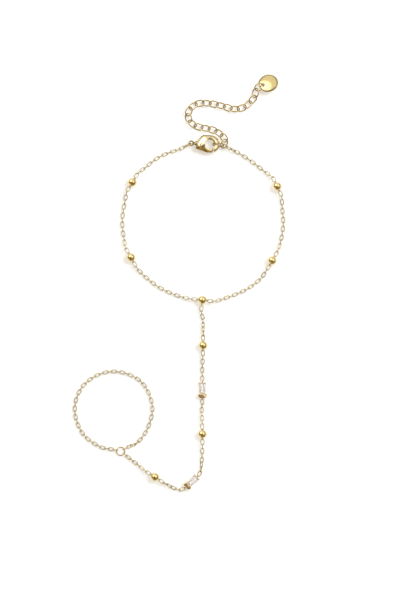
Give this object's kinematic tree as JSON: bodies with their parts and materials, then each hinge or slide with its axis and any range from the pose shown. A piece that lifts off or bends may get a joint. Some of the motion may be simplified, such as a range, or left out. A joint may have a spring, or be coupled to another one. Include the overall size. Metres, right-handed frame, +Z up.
{
  "type": "hand chain bracelet",
  "caption": "Fine chain wrist loop with beads, a lobster clasp and a tagged extender, joined to a hand chain with set baguette stones that ends in a finger loop.",
  "frame": {"origin": "middle of the wrist loop, on the surface that the bracelet lies on", "axes": "+Y from the wrist loop's middle toward the clasp, +X to the right seen from above, +Z up"},
  "size_m": [0.0679, 0.1334, 0.0039],
  "materials": {
    "chain": "polished pale gold",
    "beads": "polished deep gold",
    "rings": "polished gold",
    "clasp": "polished gold",
    "lever": "polished gold",
    "extender": "polished pale gold",
    "settings": "polished gold",
    "stones": "clear, cut and polished",
    "tag": "polished gold"
  },
  "bodies": {
    "bracelet": {"wrist_chain_1": "chain", "wrist_chain_2": "chain", "wrist_chain_3": "chain", "wrist_chain_4": "chain", "wrist_chain_5": "chain", "wrist_chain_6": "chain", "wrist_bead_1": "beads", "wrist_bead_2": "beads", "middle_bead": "beads", "wrist_bead_3": "beads", "wrist_bead_4": "beads", "wrist_bead_link_1": "chain", "wrist_bead_link_2": "chain", "middle_bead_link": "chain", "wrist_bead_link_3": "chain", "wrist_bead_link_4": "chain", "hand_chain_1": "chain", "hand_chain_2": "chain", "hand_chain_3": "chain", "hand_chain_4": "chain", "hand_chain_5": "chain", "hand_chain_6": "chain", "hand_bead_1": "beads", "hand_bead_2": "beads", "hand_bead_3": "beads", "hand_bead_link_1": "chain", "hand_bead_link_2": "chain", "hand_bead_link_3": "chain", "setting_1": "settings", "setting_2": "settings", "stone_1": "stones", "stone_2": "stones", "finger_ring": "rings", "finger_chain": "chain", "clasp_body": "clasp", "clasp_rivet": "lever", "clasp_ring": "rings", "end_ring": "rings", "extender": "extender", "tag_ring": "rings", "tag": "tag"},
    "clasp_lever": {"clasp_lever": "lever"}
  },
  "joints": [
    {"name": "lever_swing", "type": "hinge", "parent": "bracelet", "child": "clasp_lever", "pos_m": [-0.00043, 0.02447, 0.00185], "axis": [0, 0, 1], "range_deg": [0, 12], "stiffness_Nm_per_rad": 0.002, "springref_deg": -17.19}
  ]
}
